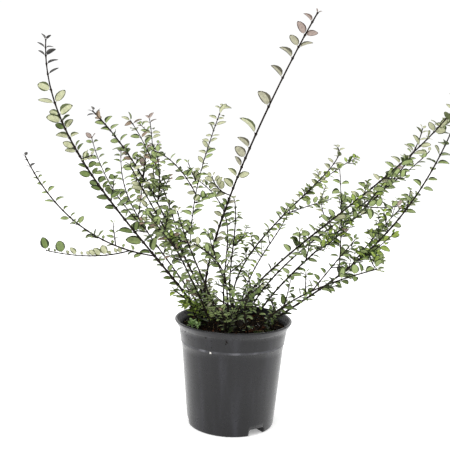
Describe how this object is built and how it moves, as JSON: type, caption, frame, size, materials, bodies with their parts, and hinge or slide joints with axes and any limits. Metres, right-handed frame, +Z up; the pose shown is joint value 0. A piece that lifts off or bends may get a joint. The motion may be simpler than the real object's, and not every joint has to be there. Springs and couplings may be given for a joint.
{
  "type": "potted flowering shrub",
  "caption": "Open, many-stemmed box honeysuckle shrub with arching canes of small round leaves and pinkish tips, in a round dark plastic nursery pot.",
  "frame": {"origin": "middle of the pot's flat underside, which is the face it stands on", "axes": "+Z up, -Y towards the front from which the picture was taken, +X to the right in the picture"},
  "size_m": [0.6014, 0.441, 0.6058],
  "materials": {
    "pot": "satin moulded polypropylene",
    "soil": "damp peat potting soil",
    "bark": "dark purplish-brown bark",
    "foliage": "small leathery leaves, pale to mid green, pinkish at the tips"
  },
  "bodies": {
    "root": {"pot": "pot", "soil": "soil", "root_stool": "bark", "tall_cane": "bark", "upper_left_cane": "bark", "left_back_cane": "bark", "far_left_cane": "bark", "front_left_cane": "bark", "middle_left_cane": "bark", "front_lean_cane": "bark", "back_lean_cane": "bark", "centre_cane": "bark", "right_arch_cane": "bark", "right_long_cane": "bark", "right_middle_cane": "bark", "right_back_cane": "bark", "front_short_cane": "bark", "front_right_cane": "bark", "low_right_cane": "bark", "rear_right_cane": "bark", "tall_leaves": "foliage", "upper_left_leaves": "foliage", "left_back_leaves": "foliage", "far_left_leaves": "foliage", "front_left_leaves": "foliage", "middle_left_leaves": "foliage", "front_lean_leaves": "foliage", "back_lean_leaves": "foliage", "centre_leaves": "foliage", "right_arch_leaves": "foliage", "right_long_leaves": "foliage", "right_middle_leaves": "foliage", "right_back_leaves": "foliage", "front_short_leaves": "foliage", "front_right_leaves": "foliage", "low_right_leaves": "foliage", "rear_right_leaves": "foliage", "low_left_leaves": "foliage", "middle_back_leaves": "foliage", "clump_left": "foliage", "clump_front": "foliage", "clump_right": "foliage", "clump_back": "foliage", "clump_back_left": "foliage"}
  },
  "joints": []
}
